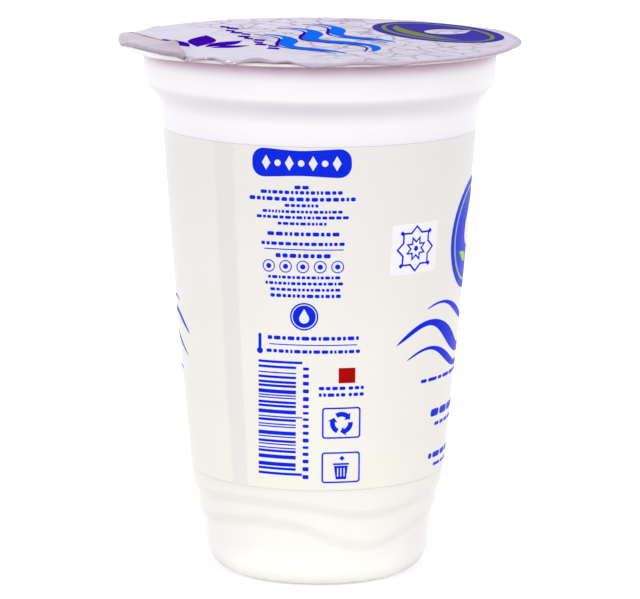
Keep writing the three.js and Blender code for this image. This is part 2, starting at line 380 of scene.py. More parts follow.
def label_material():
    """Cream-white film, a little greyer where its ends overlap, and painted a little darker towards its top
    as painted shade.
    """
    material, tree, place = new_material("label_film")
    front = product(tree, axis(tree, place, "Y"), -1.0)
    angle = maths(tree, "ARCTAN2", axis(tree, place, "X"), front)
    rise = spread(tree, angle, math.radians(SEAM_FROM - 1.2), math.radians(SEAM_FROM + 0.6), 0, 1)
    fall = spread(tree, angle, math.radians(SEAM_TO - 0.3), math.radians(SEAM_TO + 0.5), 1, 0)
    overlap = product(tree, rise, fall, 0.6)
    height = spread(tree, axis(tree, place, "Z"), LABEL_BOTTOM, LABEL_TOP, 0, 1)
    # The film is painted darker towards its top, which is painted shade.
    film = ramp(tree, height, [
        (0.05, srgb(243, 241, 232)), (0.4, srgb(243, 241, 234)), (0.95, srgb(235, 234, 231)),
    ])
    cloud = spread(tree, noise(tree, place, 0.07, 3), 0.35, 0.7, 0, 0.3)
    mottled = mixed(tree, cloud, film, srgb(233, 230, 224))
    grain = noise(tree, place, 2.2, 5)
    return finished(
        material, base_color=mixed(tree, overlap, mottled, srgb(226, 225, 223)), ior=1.5,
        roughness=spread(tree, grain, 0.3, 0.7, 0.36, 0.48), normal=bump(tree, grain, 0.06, 0.0001),
    )


def foil_crackle(tree, flat):
    """Where the lines of the crackle lie: the edges of bent cells."""
    warp = node(tree, "ShaderNodeTexNoise", {"Vector": flat, "Scale": 0.25, "Detail": 2})
    bent = vector(tree, "ADD", flat, second=vector(tree, "SCALE", warp.outputs["Color"], Scale=2.4))
    cells = node(tree, "ShaderNodeTexVoronoi", {"Vector": bent, "Scale": 0.2}, feature="DISTANCE_TO_EDGE")
    return spread(tree, cells.outputs["Distance"], 0.032, 0.076, 1, 0)


def foil_material():
    """Lilac lacquer on foil, with a crackle over most of it, painted shade towards the right and on the rim,
    and painted glints on the rim by the tab.
    """
    material, tree, place = new_material("lid_foil")
    flat = vector(tree, "MULTIPLY", place, second=(1, 1, 0))
    toward = vector(tree, "DOT_PRODUCT", flat, "Value", second=LID_UP)
    reach = vector(tree, "LENGTH", flat, "Value")
    field = spread(tree, toward, -16, -8, 0, 1)
    inside = spread(tree, reach, 35.6, 36.4, 1, 0)
    crackle = product(tree, foil_crackle(tree, flat), field, inside)
    cloud = noise(tree, flat, 0.12, 3)
    lacquer = ramp(tree, cloud, [(0.3, srgb(187, 181, 197)), (0.7, srgb(195, 189, 205))])
    # Painted shade: the lacquer is painted darker towards the right side of the lid.
    aside = spread(tree, axis(tree, place, "X"), -10, LID_RADIUS, 0, 0.8)
    shaded = mixed(tree, aside, lacquer, srgb(181, 172, 191))
    drawn = mixed(tree, crackle, shaded, srgb(146, 135, 155))
    # Painted shade: the loose rim is painted in a darker band.
    rim = spread(tree, reach, RIM_INNER_RADIUS - 0.4, RIM_INNER_RADIUS + 0.8, 0, 0.9)
    rim_shaded = mixed(tree, rim, drawn, srgb(172, 156, 173))
    # Painted glints: bright specks painted on the crinkled rim by the tab; the mask named bare holds these
    # painted glints.
    glint_specks = spread(tree, noise(tree, place, 1.3, 3, 0.6), 0.6, 0.64, 0, 1)
    crinkled = spread(tree, reach, RIM_INNER_RADIUS - 0.9, RIM_INNER_RADIUS - 0.3, 0, 1)
    by_tab = spread(tree, toward, -31, -28, 1, 0)
    bare = product(tree, glint_specks, crinkled, by_tab)
    crinkle = noise(tree, place, 0.5, 4, 0.55)
    return finished(
        material, base_color=mixed(tree, bare, rim_shaded, srgb(250, 247, 251)), specular_ior_level=0.1,
        roughness=spread(tree, crinkle, 0.3, 0.7, 0.4, 0.55), normal=bump(tree, crinkle, 0.12, 0.0003),
    )


def underside_material():
    """The foil's bare grey underside, which shows on the folded tab, painted darker towards the right, with
    a painted shadow line at its free edge.
    """
    material, tree, place = new_material("foil_underside")
    brushed = node(tree, "ShaderNodeMapping", {"Vector": place, "Scale": (1, 1, 0.2)}).outputs["Vector"]
    cloud = noise(tree, brushed, 0.7, 4)
    grey = ramp(tree, cloud, [(0.3, srgb(172, 158, 174)), (0.7, srgb(187, 175, 190))])
    # Painted shade: the tab's face is painted darker towards the right.
    aside = spread(tree, axis(tree, place, "X"), -36, -25, 0, 0.95)
    shaded = mixed(tree, aside, grey, srgb(160, 141, 160))
    # Painted shadow: a dark line painted on the tab along its free edge, where the gap under the edge is in
    # shade.
    outward = vector(tree, "DOT_PRODUCT", place, "Value", second=TAB_OUT)
    from_edge = maths(tree, "ABSOLUTE", maths(tree, "SUBTRACT", outward, FREE_EDGE_OUT + EDGE_SHADOW_LINE / 2))
    line = spread(tree, from_edge, EDGE_SHADOW_LINE / 2, EDGE_SHADOW_LINE, 0.85, 0)
    on_tab = spread(tree, axis(tree, place, "Z"), SEALED + FOLD_RADIUS, SEALED + 2 * FOLD_RADIUS, 0, 1)
    edge = product(tree, line, on_tab)
    return finished(
        material, base_color=mixed(tree, edge, shaded, srgb(86, 74, 84)), specular_ior_level=0.2,
        roughness=spread(tree, cloud, 0.3, 0.7, 0.36, 0.5), normal=bump(tree, cloud, 0.2, 0.0003),
    )


def ink_material(name, colour, worn, gloss):
    """Printing ink with the slight mottle of a press."""
    material, tree, place = new_material(name)
    mottle = noise(tree, place, 4.5, 4, 0.6)
    tone = ramp(tree, mottle, [(0.35, srgb(*colour)), (0.75, srgb(*worn))])
    return finished(
        material, base_color=tone, roughness=spread(tree, mottle, 0.3, 0.7, 0.34, 0.46),
        normal=bump(tree, mottle, 0.05, 0.00005), ior=1.5, specular_ior_level=gloss,
    )


# Pieces

def add_piece(name, points, faces, materials, replaced=None, face_materials=None):
    """A mesh piece that rides on the part, takes the materials it is given and may stand for a solid of the
    part.
    """
    mesh = bpy.data.meshes.new(name)
    mesh.from_pydata(points, [], faces)
    for material in materials:
        mesh.materials.append(material)
    if face_materials:
        mesh.polygons.foreach_set("material_index", face_materials)
    mesh.shade_smooth()
    mesh.set_sharp_from_angle(angle=math.radians(SHARP_ANGLE))
    mesh.validate()
    piece = bpy.data.objects.new(name, mesh)
    bpy.context.scene.collection.objects.link(piece)
    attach(piece, "root")
    if replaced:
        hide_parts(replaced)
    return piece


# Cup

def unmoved(azimuth):
    return 0, 0


def wave(step, share=1):
    """How far a ring that follows a step line, or a share of it, moves out and up."""
    return lambda azimuth: (0, share * wave_lift(step, azimuth))


def flange_low_edge(azimuth):
    return lobed(FLANGE_BULGES, azimuth), lobed(FLANGE_SAGS, azimuth)


def flange_high_edge(azimuth):
    return lobed(FLANGE_BULGES, azimuth), 0


def arc_rings(centre_radius, centre_height, size, start, end, count, move=unmoved):
    """Rings of a round from one end angle to the other about a centre."""
    angles = steps(start, end, count)
    return [(*spoke(centre_radius, centre_height, size, angle), move) for angle in angles]


def step_rings(step):
    """Rings up one wavy step: a soft overhang that follows its own step line."""
    rings = []
    for share in steps(0, 1, STEP_STEPS):
        radius = lerp(step.below, step.above, smooth(share))
        rings.append((radius, step.mid + step.rise * (share - 0.5), wave(step)))
    return rings


def base_rings():
    foot_outer = BASE_RADIUS - BASE_ROUNDING
    foot_inner = foot_outer - FOOT_RING_WIDTH
    band_share = (PLAIN_BAND_TOP - BASE_ROUNDING) / (LOWER_STEP.mid - LOWER_STEP.rise / 2 - BASE_ROUNDING)
    band_radius = lerp(BASE_RADIUS, LOWER_STEP.below, band_share)
    recess = foot_inner - RECESS_SLOPE
    return [
        (recess - RECESS_EDGE, RECESS_DEPTH, unmoved),
        (recess, RECESS_DEPTH - RECESS_EDGE / 4, unmoved),
        (foot_inner - RECESS_EDGE, RECESS_EDGE / 2, unmoved),
        (foot_inner, 0, unmoved),
        *arc_rings(foot_outer, BASE_ROUNDING, BASE_ROUNDING, -90, 0, ROUNDING_STEPS),
        (band_radius, PLAIN_BAND_TOP, wave(LOWER_STEP, PLAIN_BAND_SHARE)),
    ]


def label_field_rings():
    """The field under the label is set in by the film's thickness and its gap."""
    inset = LABEL_THICKNESS + LABEL_GAP
    bottom = LABEL_BOTTOM - LABEL_END_GAP
    top = LABEL_TOP + LABEL_END_GAP
    rings = [(label_radius(bottom), bottom, unmoved)]
    for height in steps(bottom, top, LABEL_ROWS):
        rings.append((label_radius(height) - inset, height, unmoved))
    rings.append((label_radius(top), top, unmoved))
    return rings


def shoulder_rings():
    rings = []
    for share in steps(0, 1, SHOULDER_STEPS):
        radius = lerp(NECK_RADIUS, COLLAR_RADIUS, smooth(share ** SHOULDER_EASE))
        rings.append((radius, lerp(SHOULDER_BOTTOM, SHOULDER_TOP, share), unmoved))
    return rings


def flange_rings():
    edge = FLANGE_RADIUS - FLANGE_EDGE
    low = FLANGE_BOTTOM + FLANGE_EDGE
    high = FLANGE_TOP - FLANGE_EDGE
    fillet_height = FLANGE_BOTTOM - COLLAR_FILLET
    return [
        *arc_rings(COLLAR_TOP_RADIUS + COLLAR_FILLET, fillet_height, COLLAR_FILLET, 180, 90, ROUNDING_STEPS),
        *arc_rings(edge, low, FLANGE_EDGE, -90, 0, ROUNDING_STEPS // 2, flange_low_edge),
        *arc_rings(edge, high, FLANGE_EDGE, 0, 90, ROUNDING_STEPS // 2, flange_high_edge),
    ]


def turned(rings, columns):
    """Turns rings of (radius, height, move out and up at an azimuth) about Z, closed at both ends."""
    points = []
    for radius, height, move in rings:
        for column in range(columns):
            azimuth = 360 * column / columns
            out, up = move(azimuth)
            points.append(point_at(azimuth, radius + out, height + up))
    faces = []
    for ring in range(len(rings) - 1):
        for column in range(columns):
            beside = (column + 1) % columns
            low = ring * columns
            high = low + columns
            faces.append((low + column, low + beside, high + beside, high + column))
    for ring, height in ((0, rings[0][1]), (len(rings) - 1, rings[-1][1])):
        centre = len(points)
        points.append(Vector((0, 0, height)) * MM)
        for column in range(columns):
            pair = (ring * columns + column, ring * columns + (column + 1) % columns)
            faces.append((centre, *(pair if ring else reversed(pair))))
    return points, faces


def add_cup():
    rings = [
        *base_rings(),
        *step_rings(LOWER_STEP),
        *step_rings(UPPER_STEP),
        *label_field_rings(),
        *shoulder_rings(),
        *flange_rings(),
    ]
    points, faces = turned(rings, CUP_COLUMNS)
    add_piece("cup_shell", points, faces, [cup_material()], "cup")


# Label

def add_label():
    """A film sleeve with a raised strip where its two ends overlap."""
    azimuths = [SEAM_FROM - SEAM_EDGE, SEAM_FROM, SEAM_TO, SEAM_TO + SEAM_EDGE]
    azimuths += [360 * i / LABEL_COLUMNS - 180 for i in range(LABEL_COLUMNS)]
    azimuths.sort()
    heights = steps(LABEL_BOTTOM, LABEL_TOP, LABEL_ROWS)
    points = []
    for azimuth in azimuths:
        proud = SEAM_HEIGHT if SEAM_FROM <= azimuth <= SEAM_TO else 0
        for height in heights:
            points.append(point_at(azimuth, label_radius(height) + proud, height))
        for height in reversed(heights):
            points.append(point_at(azimuth, label_radius(height) - LABEL_THICKNESS, height))
    size = 2 * len(heights)
    faces = []
    for column in range(len(azimuths)):
        here = column * size
        there = (column + 1) % len(azimuths) * size
        for i in range(size):
            after = (i + 1) % size
            faces.append((here + i, there + i, there + after, here + after))
    add_piece("label_film", points, faces, [label_material()], "label")


# Lid

TAB_OUT = Vector((math.sin(math.radians(TAB_AZIMUTH)), -math.cos(math.radians(TAB_AZIMUTH)), 0))
TAB_ALONG = TAB_OUT.cross(Vector((0, 0, 1)))
LID_UP = -TAB_OUT
LID_RIGHT = TAB_ALONG * -1


def fold_out(along):
    """Where the fold lies, out from the axis: a straight line, or the round edge where that is nearer."""
    return min(FOLD_OUT, math.sqrt(FOLD_REACH ** 2 - along ** 2))


def side_share(along):
    """How far the tab's slanting near side has come from the free edge (0) to the fold (1)."""
    return clamp((FREE_EDGE_FROM - along) / (FREE_EDGE_FROM - FOLD_FROM), 0, 1)


def tab_edge_out(along):
    """Where the tab's edge lies: straight along its free edge, slanting to the fold along its near side."""
    return lerp(FREE_EDGE_OUT, fold_out(FOLD_FROM) - TAB_SIDE, side_share(along))


def rim_lift(azimuth):
    """How far the lid's edge lies above its sealed plane: its lobes, and fine crinkles on them."""
    lift = lobed(RIM_LOBES, azimuth)
    for count in CRINKLE_COUNTS:
        lift += CRINKLE * math.sin(math.radians(azimuth * count + count)) / len(CRINKLE_COUNTS)
    return lift


def tab_point(out, along, height):
    return (TAB_OUT * out + TAB_ALONG * along + Vector((0, 0, height))) * MM


def disc_column(azimuth, rim, lip):
    """Points from near the axis out to the rim, which is lobed where it is loose and turns down in a lip."""
    column = []
    for radius in steps(LID_RADIUS / 40, RIM_INNER_RADIUS - 1, LID_RINGS):
        column.append(point_at(azimuth, radius, SEALED))
    for share in steps(0, 1, RIM_RINGS):
        turned_down = clamp((share - LIP_START) / (1 - LIP_START), 0, 1) ** 1.4
        lift = min(share / LIP_START, 1) * rim_lift(azimuth) - turned_down * lip
        column.append(point_at(azimuth, lerp(RIM_INNER_RADIUS, rim, share), SEALED + lift))
    return column


def loose_column(azimuth):
    """A column away from the tab. Its edge is drawn in a little where it is lifted."""
    rim = LID_RADIUS - LIP_DRAW_IN * max(0, rim_lift(azimuth))
    return disc_column(azimuth, rim, LIP + lobed(LIP_LOBES, azimuth))


def tab_column(along, azimuth):
    """Points round the fold on the loose rim, and back over the lid to the tab's edge, which curls up."""
    turn = fold_out(along) - FOLD_RADIUS
    droop = rim_lift(azimuth)
    column = []
    for angle in steps(-math.pi / 2, math.pi / 2, ROUNDING_STEPS)[1:]:
        height = SEALED + droop + FOLD_RADIUS + FOLD_RADIUS * math.sin(angle)
        column.append(tab_point(turn + FOLD_RADIUS * math.cos(angle), along, height))
    curl = FREE_EDGE_LIFT + FREE_CORNER.reach * hump(along - FREE_CORNER.at, FREE_CORNER.half)
    lift = lerp(curl, droop, side_share(along))
    edge = tab_edge_out(along)
    for share in steps(0, 1, CURL_STEPS)[1:]:
        height = SEALED + 2 * FOLD_RADIUS + lerp(droop, lift, share)
        column.append(tab_point(lerp(turn, edge, share), along, height))
    return column


def lid_columns():
    """Columns round the lid in order of azimuth: (azimuth, disc points, tab points or none)."""
    columns = []
    for along in steps(FOLD_FROM, FOLD_TO, TAB_COLUMNS):
        turn = fold_out(along) - FOLD_RADIUS
        azimuth = TAB_AZIMUTH - math.degrees(math.atan2(along, turn))
        inner = disc_column(azimuth, math.hypot(along, turn), 0)
        columns.append((azimuth, inner, tab_column(along, azimuth)))
    first = min(column[0] for column in columns)
    last = max(column[0] for column in columns)
    spacing = 360 / LID_COLUMNS
    for i in range(LID_COLUMNS):
        azimuth = i * spacing - 180
        if azimuth < first - spacing / 2 or azimuth > last + spacing / 2:
            columns.append((azimuth, loose_column(azimuth), []))
    return sorted(columns, key=lambda column: column[0])


def thickened(points, faces, thickness):
    """A sheet's points and faces, given a thickness to both sides and closed along its open edges."""
    sheet = bpy.data.meshes.new("sheet")
    sheet.from_pydata(points, [], faces)
    normals = [vertex.normal.copy() for vertex in sheet.vertices]
    count = len(points)
    half = thickness * MM / 2
    solid = [point + normal * half for point, normal in zip(points, normals)]
    solid += [point - normal * half for point, normal in zip(points, normals)]
    sides = [side for face in faces for side in zip(face, face[1:] + face[:1])]
    known = set(sides)
    under = [tuple(count + i for i in reversed(face)) for face in faces]
    rim = [(end, start, count + start, count + end) for start, end in sides if (end, start) not in known]
    bpy.data.meshes.remove(sheet)
    return solid, faces, under, rim


def add_lid():
    columns = lid_columns()
    points = [Vector((0, 0, SEALED)) * MM]
    starts = []
    for _, inner, tab in columns:
        starts.append(len(points))
        points += inner + tab
    faces = []
    for i, (_, inner, tab) in enumerate(columns):
        here = starts[i]
        beside = (i + 1) % len(columns)
        there = starts[beside]
        faces.append((0, here, there))
        both = len(inner) + (len(tab) if columns[beside][2] else 0)
        for j in range(both - 1):
            faces.append((here + j, here + j + 1, there + j + 1, there + j))
    solid, upper, under, rim = thickened(points, faces, FOIL)
    indices = [0] * len(upper) + [1] * len(under) + [0] * len(rim)
    materials = [foil_material(), underside_material()]
    add_piece("lid_foil", solid, upper + under + rim, materials, "lid", indices)


# Flat outlines for the print, in millimetres. A shape is a list of loops: its outline, then its holes.

def oval(across, up, width, height, count=ROUND_STEPS):
    unit = [spoke(0, 0, 0.5, 360 * i / count) for i in range(count)]
    return [(across + width * x, up + height * y) for x, y in unit]


def disc(across, up, radius):
    return oval(across, up, 2 * radius, 2 * radius)


def ring_shape(across, up, radius, line):
    return [disc(across, up, radius), disc(across, up, radius - line)]


def box(across, up, width, height):
    left = across - width / 2
    low = up - height / 2
    return [(left, low), (left + width, low), (left + width, low + height), (left, low + height)]


def rounded_box(across, up, width, height, corner, count=6):
    loop = []
    for turn, (side, level) in enumerate(((1, 1), (-1, 1), (-1, -1), (1, -1))):
        middle = (across + side * (width / 2 - corner), up + level * (height / 2 - corner))
        loop += arc_line(*middle, corner, 90 * turn, 90 * turn + 90, count)
    return loop


def diamond(across, up, width, height):
    left = (across - width / 2, up)
    right = (across + width / 2, up)
    return [left, (across, up - height / 2), right, (across, up + height / 2)]


def drop(across, up, width, height, count=ROUND_STEPS):
    """A round drop with its point at the top."""
    radius = width / 2
    low = up - height / 2 + radius
    lean = math.degrees(math.acos(radius / (height - radius)))
    return [(across, up + height / 2), *arc_line(across, low, radius, 90 + lean, 450 - lean, count)]


def stroke(line, widths):
    """A brush stroke along a line of points, with its width at each."""
    left = []
    right = []
    for i, (x, y) in enumerate(line):
        before = line[max(i - 1, 0)]
        after = line[min(i + 1, len(line) - 1)]
        heading = Vector((after[0] - before[0], after[1] - before[1])).normalized()
        half = widths[i] / 2
        left.append((x - heading.y * half, y + heading.x * half))
        right.append((x + heading.y * half, y - heading.x * half))
    return right + left[::-1]


def swash(start, end, swing, waves, thickest, lean, count=64):
    """A wavy brush stroke between two points, thin at both ends and thickest on its way up and down."""
    line = []
    widths = []
    for share in steps(0, 1, count):
        x = lerp(start[0], end[0], share)
        phase = 2 * math.pi * (waves * share + lean)
        line.append((x, lerp(start[1], end[1], share) + swing * math.sin(phase)))
        body = math.sin(math.pi * share) ** 0.7
        widths.append(0.12 + thickest * body * (0.55 + 0.45 * math.cos(phase) ** 2))
    return stroke(line, widths)


def arc_line(across, up, radius, start, end, count=16):
    return [spoke(across, up, radius, angle) for angle in steps(start, end, count)]


def star_outline(across, up, radius, notch, points=8, turn=0.0):
    loop = []
    for i in range(2 * points):
        loop.append(spoke(across, up, notch if i % 2 else radius, 180 * i / points + turn))
    return loop


def dashes(chance, across, up, width, height, word=2.4, gap=0.55):
    """A row of dashes as long as words, which stands for a line of small print."""
    lengths = []
    while sum(lengths) + gap * len(lengths) < width:
        lengths.append(word * chance.uniform(0.45, 1.5))
    scale = (width - gap * (len(lengths) - 1)) / sum(lengths)
    shapes = []
    left = across - width / 2
    for length in lengths:
        length *= scale
        shapes.append([rounded_box(left + length / 2, up, length, height, min(height, length) * 0.35, 3)])
        left += length + gap
    return shapes


# Print on a surface

def label_panel(azimuth):
    """Places flat points on the label: across from an azimuth, and up from the base."""
    def place(across, up, proud):
        radius = label_radius(up)
        return point_at(azimuth + math.degrees(across / radius), radius + proud, up)
    return place


def lid_sheet(across, up, proud):
    """Places flat points on the lid, whose print stands upright when the tab is nearest."""
    return (LID_RIGHT * across + LID_UP * up + Vector((0, 0, SEALED + FOIL / 2 + proud))) * MM


def cut_flat(shape):
    """A shape filled with faces that are narrow enough to follow a round surface."""
    loops = [[Vector((x, y, 0)) for x, y in loop] for loop in shape]
    corners = [corner for loop in loops for corner in loop]
    flat = bmesh.new()
    vertices = [flat.verts.new(corner) for corner in corners]
    for triangle in tessellate_polygon(loops):
        flat.faces.new([vertices[i] for i in triangle])
    for direction, step in ((Vector((1, 0, 0)), INK_STEP), (Vector((0, 1, 0)), INK_ROW)):
        low = min(corner.dot(direction) for corner in corners)
        high = max(corner.dot(direction) for corner in corners)
        at = math.ceil(low / step) * step
        while at < high:
            everything = flat.verts[:] + flat.edges[:] + flat.faces[:]
            cut = direction * at
            bmesh.ops.bisect_plane(flat, geom=everything, dist=1e-5, plane_co=cut, plane_no=direction)
            at += step
    loose = [vertex for vertex in flat.verts if not vertex.link_faces]
    bmesh.ops.delete(flat, geom=loose, context="VERTS")
    for face in flat.faces:
        if face.calc_area() > 0 and face.normal.z < 0:
            face.normal_flip()
    flat.verts.index_update()
    return flat


def ink(points, faces, place, shapes, level=0):
    """Adds shapes as thin closed layers on a surface. A higher level lies on what is printed below it."""
    below = INK_BELOW + level * INK_ABOVE
    above = INK_ABOVE + level * INK_ABOVE
    for shape in shapes:
        flat = cut_flat(shape)
        start = len(points)
        count = len(flat.verts)
        points += [place(vertex.co.x, vertex.co.y, above) for vertex in flat.verts]
        points += [place(vertex.co.x, vertex.co.y, below) for vertex in flat.verts]
        for face in flat.faces:
            top = [start + vertex.index for vertex in face.verts]
            faces.append(top)
            faces.append([count + i for i in reversed(top)])
            for loop in face.loops:
                if loop.edge.is_boundary:
                    a = start + loop.vert.index
                    b = start + loop.link_loop_next.vert.index
                    faces.append([b, a, count + a, count + b])
        flat.free()


# What is printed on the label

FRONT = label_panel(0)
RIGHT = label_panel(83)
LEFT = label_panel(-115)
BACK = label_panel(163)
PATCH = label_panel(39.5)

# Rows of small print on the front: middle, height, width, thickness
FRONT_ROWS = [
    (-3.3, 79.9, 2.7, 0.62), (-3.4, 78.9, 15.7, 0.6), (-3.3, 77.6, 20.5, 0.66), (-3.3, 76.4, 6.4, 0.52),
    (-3.2, 75.2, 15.3, 0.5), (-3.2, 74.1, 17.7, 0.52), (-3.2, 72.9, 9.3, 0.5), (-3.0, 70.9, 13.8, 0.66),
    (-3.1, 69.0, 16, 0.58), (-3.0, 66.7, 10.5, 0.72), (-2.8, 62.5, 13.8, 0.52), (-2.8, 61.3, 14.9, 0.52),
    (-2.6, 60.1, 13.4, 0.5), (-2.5, 58.9, 13.5, 0.6), (-1.0, 50.6, 17.6, 0.66), (-1.0, 48.0, 18.1, 0.6),
    (2.7, 40.8, 5.1, 0.6), (7.4, 40.8, 3, 0.6), (2.7, 39.5, 5.1, 0.6), (7.4, 39.5, 3, 0.6),
]
FRONT_RULES = [(-2.9, 67.9, 15.2, 0.2), (-1.0, 49.3, 16.9, 0.2)]

PILL = (-3.4, 84.5, 19.1, 5.5)
PILL_WAIST = 0.35
PILL_MARKS = 7
RING_ROW = (-9.6, 3.3, 64.6, 1.22, 0.2)
RINGS = 5
THERMOMETER = (-11.4, 47.2, 51.3)
PATCH_HEIGHT = 67.2
PRINT_SEED = 23
BADGE = (-2.7, 54.9, 2.7)
BARS = (-11.7, 23.3, 7.5, 23.1)
BAR_MODULE = 0.25
BAR_GUARD = 1.2
RED_SQUARE = (5.55, 43.3, 3.25, 3.0)
FRAMES = ((4.55, 33.9), (4.5, 25.0))
FRAME_SIZE = (7.5, 6.2)
FRAME_LINE = 0.32
ROUNDEL_HEIGHT = 67.5
ROUNDEL_RADIUS = 11

# Rows of small print on the sides: height, width, thickness
SIDE_ROWS = [(40.4, 33, 0.7), (33.4, 24, 1.5), (31.0, 20, 0.7), (24.6, 22, 1.1), (22.6, 17, 0.6)]

# Wavy strokes on the sides: start, end, swing, waves, thickest, where in a wave it starts
SIDE_STROKES = [
    ((-24, 48.4), (24, 48.4), 3.6, 1.5, 3.0, 0.0),
    ((-21, 44.2), (22, 44.8), 2.6, 1.5, 1.7, 0.06),
    ((-17, 53.4), (20, 52.4), 2.3, 1.25, 1.4, 0.1),
]

# A table of small print on the back: left, right, low, high, rows; and rows outside it: height, width
TABLE = (-12, 12, 40, 76, 11)
TABLE_NOTES = [(81.5, 20), (79.6, 16), (36.4, 22), (34.6, 19), (32.8, 21), (31.0, 12)]


def pill():
    """A soft bar with a slight waist, and a row of diamonds and dots left bare in it."""
    across, up, width, height = PILL
    corner = height * 0.42
    outline = rounded_box(across, up, width, height, corner, 10)
    fine = []
    for (x0, y0), (x1, y1) in zip(outline, outline[1:] + outline[:1]):
        parts = max(1, round(abs(x1 - x0) / 0.6))
        for i in range(parts):
            x = lerp(x0, x1, i / parts)
            y = lerp(y0, y1, i / parts)
            pinch = PILL_WAIST * hump(x - across, width * 0.42)
            fine.append((x, y - math.copysign(pinch, y - up) if abs(y - up) > height * 0.3 else y))
    marks = []
    for i in range(PILL_MARKS):
        x = across + (i - (PILL_MARKS - 1) / 2) * width * 0.118
        marks.append(diamond(x, up, 1.7, 2.9) if i % 2 == 0 else disc(x, up, 0.62))
    return [fine, *marks]


def thermometer():
    across, low, high = THERMOMETER
    bulb = [disc(across, low + 0.65, 0.62)]
    tube = [rounded_box(across, (low + high) / 2 + 0.55, 0.62, high - low - 1.1, 0.3, 4)]
    return [bulb, tube]


def bar_block(chance):
    """Bars of own rhythm, with longer ones at both ends and in the middle."""
    left, low, width, height = BARS
    shapes = []
    at = low
    while at < low + height - 3 * BAR_MODULE:
        thick = BAR_MODULE * chance.choice((1, 1, 1, 2, 2, 3))
        share = (at - low) / height
        guard = share < 0.03 or share > 0.955 or 0.49 < share < 0.53
        long = width + (BAR_GUARD if guard else 0)
        shapes.append([box(left + long / 2, at + thick / 2, long, thick)])
        at += thick + BAR_MODULE * chance.choice((1, 1, 2, 2, 3))
    return shapes


def bar_marks(chance):
    """A column of small blocks beside the bars, where a code would have its numbers."""
    left, low, width, height = BARS
    shapes = []
    at = low - 0.6
    while at < low + height - 1.5:
        long = chance.uniform(0.5, 0.85)
        shapes.append([rounded_box(left + width + 1.9, at + long / 2, 1.15, long, 0.22, 3)])
        at += long + 0.75
    return shapes


def framed(across, up):
    width, height = FRAME_SIZE
    outer = rounded_box(across, up, width, height, 0.6, 4)
    inner = rounded_box(across, up, width - 2 * FRAME_LINE, height - 2 * FRAME_LINE, 0.35, 4)
    return [[outer, inner]]


def cycle_arrows(across, up):
    """Three arrows that chase each other round a circle."""
    shapes = []
    for turn in (90, 210, 330):
        arc = arc_line(across, up, 1.75, turn - 40, turn + 34)
        shapes.append([stroke(arc, [0.95] * len(arc))])
        head = ((1.8, turn - 68), (2.7, turn - 39), (0.8, turn - 39))
        shapes.append([[spoke(across, up, reach, angle) for reach, angle in head]])
    return shapes


def bin_marks(across, up):
    """A litter bin with a lid tipped open and a scrap above it."""
    low = up - 2.35
    body = [(across - 1.0, low), (across + 1.0, low), (across + 1.35, low + 2.7), (across - 1.35, low + 2.7)]
    slots = [box(across + i * 0.62, low + 1.4, 0.24, 1.7) for i in (-1, 0, 1)]
    rim = box(across, low + 3.05, 3.1, 0.36)
    scrap = diamond(across + 0.2, low + 4.2, 1.05, 1.05)
    return [[body, *slots], [rim], [scrap]]


def star_lines(across, up):
    """A traditional eight-pointed star: two crossed squares in line, with a small star inside."""
    outer = [star_outline(across, up, 4.6, 3.5), star_outline(across, up, 4.1, 3.1)]
    inner = [star_outline(across, up, 2.6, 1.5, turn=22.5), star_outline(across, up, 1.9, 1.05, turn=22.5)]
    shapes = [outer, inner, [disc(across, up, 0.5)]]
    for x, y in box(across, up, 6.811, 6.3244):
        shapes.append([diamond(x, y, 1.0, 1.0)])
    return shapes


def roundel_blue():
    """A disc with a thin bare ring, a bare drop and a place for the two leaves under it."""
    up = ROUNDEL_HEIGHT
    rim = ring_shape(0, up, ROUNDEL_RADIUS, 1.5)
    return [rim, [disc(0, up, ROUNDEL_RADIUS - 2.0), drop(0, up + 2.2, 7, 9.5), *leaves()]]


def leaves():
    """Two leaves side by side, under the drop."""
    up = ROUNDEL_HEIGHT - 5
    loops = []
    for side in (-1, 1):
        upper = []
        lower = []
        for share in steps(0, 1, 16):
            x = side * lerp(0.4, 6.2, share)
            middle = up + 1.9 * share ** 1.6
            belly = 0.95 * math.sin(math.pi * share ** 0.8) + 0.02
            upper.append((x, middle + belly))
            lower.append((x, middle - belly))
        loops.append(lower + upper[::-1])
    return loops


def side_swashes():
    """Wavy strokes across a side of the cup, like the surface of a poured drink."""
    return [[swash(*line)] for line in SIDE_STROKES]


def side_rows(chance):
    shapes = []
    for up, width, thick in SIDE_ROWS:
        shapes += dashes(chance, 0, up, width, thick, word=2.8)
    return shapes


def table_block(chance):
    """A ruled table of small print for the back."""
    left, right, low, high, rows = TABLE
    middle = (left + right) / 2
    outline = [box(middle, (low + high) / 2, right - left, high - low)]
    outline.append(box(middle, (low + high) / 2, right - left - 0.7, high - low - 0.7))
    shapes = [outline]
    pitch = (high - low) / rows
    for i in range(rows):
        up = high - (i + 0.5) * pitch
        if i:
            shapes.append([box(middle, up + pitch / 2, right - left - 1.2, 0.16)])
        first = chance.uniform(6, 10)
        shapes += dashes(chance, left + 1.4 + first / 2, up, first, 0.75)
        last = chance.uniform(2.4, 4.4)
        shapes += dashes(chance, right - 1.4 - last / 2, up, last, 0.75)
    for up, width in TABLE_NOTES:
        shapes += dashes(chance, 0, up, width, 0.7)
    return shapes


def add_print(name, layers, colour, worn, slot):
    """One ink: layers of (surface, shapes, level) in one piece."""
    points = []
    faces = []
    for place, shapes, level in layers:
        ink(points, faces, place, shapes, level)
    gloss = LABEL_INK_GLOSS if slot == "label" else LID_INK_GLOSS
    add_piece(name, points, faces, [ink_material(name, colour, worn, gloss)])


